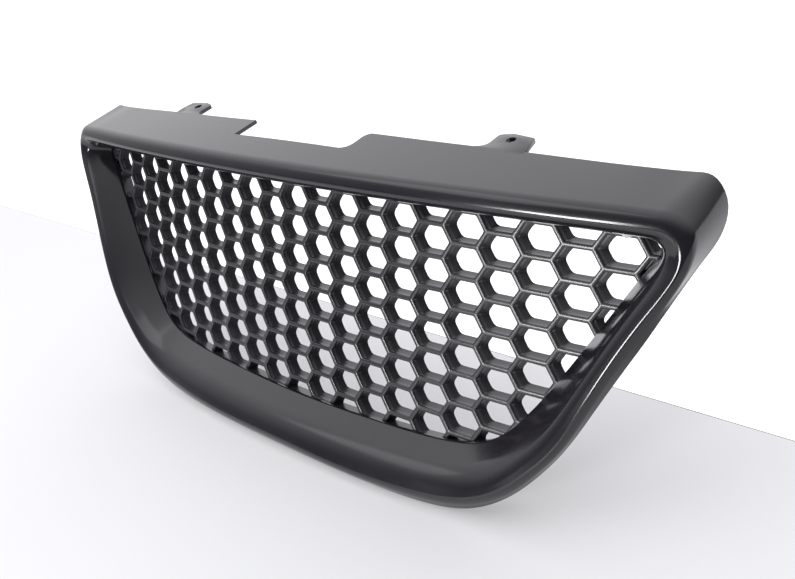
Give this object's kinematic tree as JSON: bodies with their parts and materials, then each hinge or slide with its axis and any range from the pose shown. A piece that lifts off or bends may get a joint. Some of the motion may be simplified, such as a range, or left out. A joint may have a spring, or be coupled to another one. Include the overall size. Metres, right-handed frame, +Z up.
{
  "type": "front grille",
  "caption": "Badgeless upper front grille: deep black surround with a level top flange and two screw tabs, holding a bowed honeycomb insert screwed in from behind.",
  "frame": {"origin": "midway between the two tab screw holes, on the tabs' flat top face", "axes": "+X towards the grille's right end seen from the front, +Y rearwards into the vehicle, +Z up; the top flange is level and the honeycomb leans back 23 degrees"},
  "size_m": [0.519, 0.1312, 0.1697],
  "materials": {
    "surround": "satin black moulded plastic, glossier on the rim",
    "honeycomb": "satin black moulded plastic",
    "screws": "zinc plated"
  },
  "bodies": {
    "root": {"surround": "surround", "honeycomb_insert": "honeycomb", "insert_screws": "screws"}
  },
  "joints": []
}
